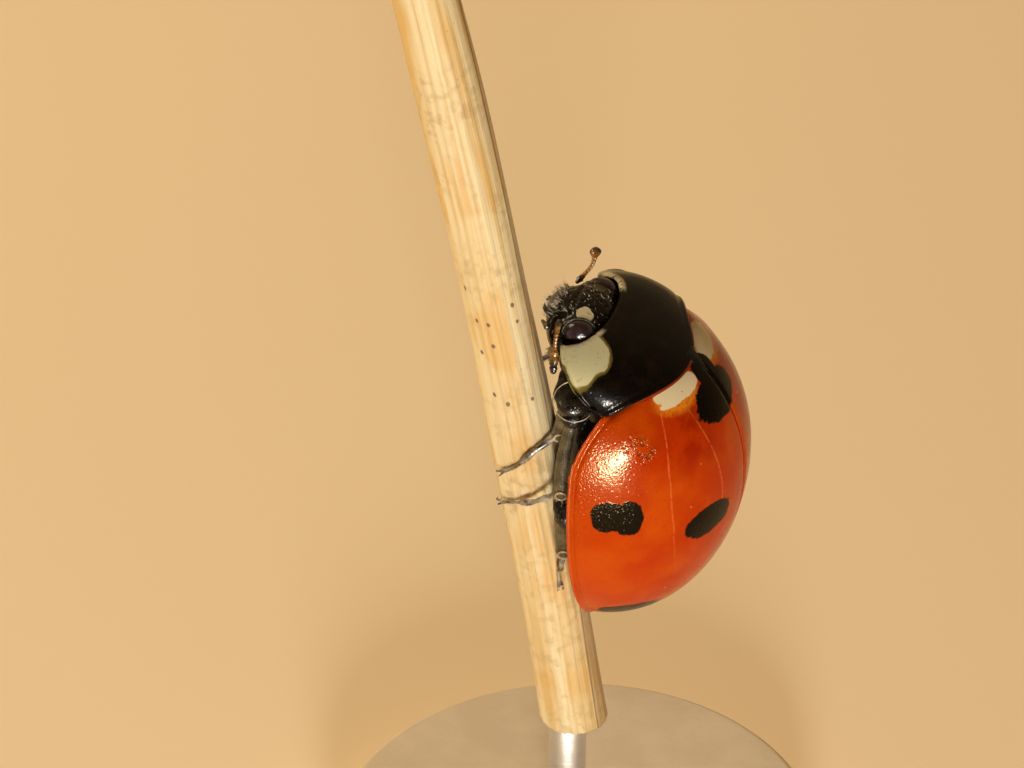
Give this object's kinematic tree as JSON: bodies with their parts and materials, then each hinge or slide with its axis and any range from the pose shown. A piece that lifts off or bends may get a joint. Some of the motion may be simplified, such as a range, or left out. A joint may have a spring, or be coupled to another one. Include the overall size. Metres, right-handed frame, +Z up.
{
  "type": "seven-spot ladybird on a stem, with display stand",
  "caption": "Still, life-size ladybird beetle climbing head-up along a short cut of dry grass stem, held upright by a rod on a round flat base.",
  "frame": {"origin": "centre of the stand base's underside, on the floor", "axes": "+Z up, the way the insect's head points along the stem; -Y towards the insect's left side; +X the way its back faces"},
  "size_m": [0.009, 0.009, 0.0213],
  "materials": {
    "shell_red": "glossy finely pitted wing cases",
    "shell_black": "glossy black shell",
    "eye": "glossy dark compound eye",
    "leg_dark": "satin black-brown",
    "leg_brown": "satin brown",
    "straw": "dry ridged straw",
    "stand_steel": "brushed",
    "stand_base": "matte"
  },
  "bodies": {
    "root": {"head": "shell_black", "labrum": "shell_black", "pronotum": "shell_black", "prosternum": "shell_black", "scutellum": "shell_black", "thorax": "shell_black", "abdomen": "shell_black", "elytron_left": "shell_red", "elytron_right": "shell_red", "eye_left": "eye", "eye_right": "eye", "leg_front_left_coxa": "leg_dark", "leg_front_left_femur": "leg_dark", "leg_front_left_tibia": "leg_brown", "leg_front_left_tarsus": "leg_brown", "leg_front_right_coxa": "leg_dark", "leg_front_right_femur": "leg_dark", "leg_front_right_tibia": "leg_brown", "leg_front_right_tarsus": "leg_brown", "leg_mid_left_coxa": "leg_dark", "leg_mid_left_femur": "leg_dark", "leg_mid_left_tibia": "leg_brown", "leg_mid_left_tarsus": "leg_brown", "leg_mid_right_coxa": "leg_dark", "leg_mid_right_femur": "leg_dark", "leg_mid_right_tibia": "leg_brown", "leg_mid_right_tarsus": "leg_brown", "leg_hind_left_coxa": "leg_dark", "leg_hind_left_femur": "leg_dark", "leg_hind_left_tibia": "leg_brown", "leg_hind_left_tarsus": "leg_brown", "leg_hind_right_coxa": "leg_dark", "leg_hind_right_femur": "leg_dark", "leg_hind_right_tibia": "leg_brown", "leg_hind_right_tarsus": "leg_brown", "antenna_left": "leg_brown", "palp_left": "leg_brown", "antenna_right": "leg_brown", "palp_right": "leg_brown", "stem": "straw", "stand_rod": "stand_steel", "stand_base": "stand_base"}
  },
  "joints": []
}
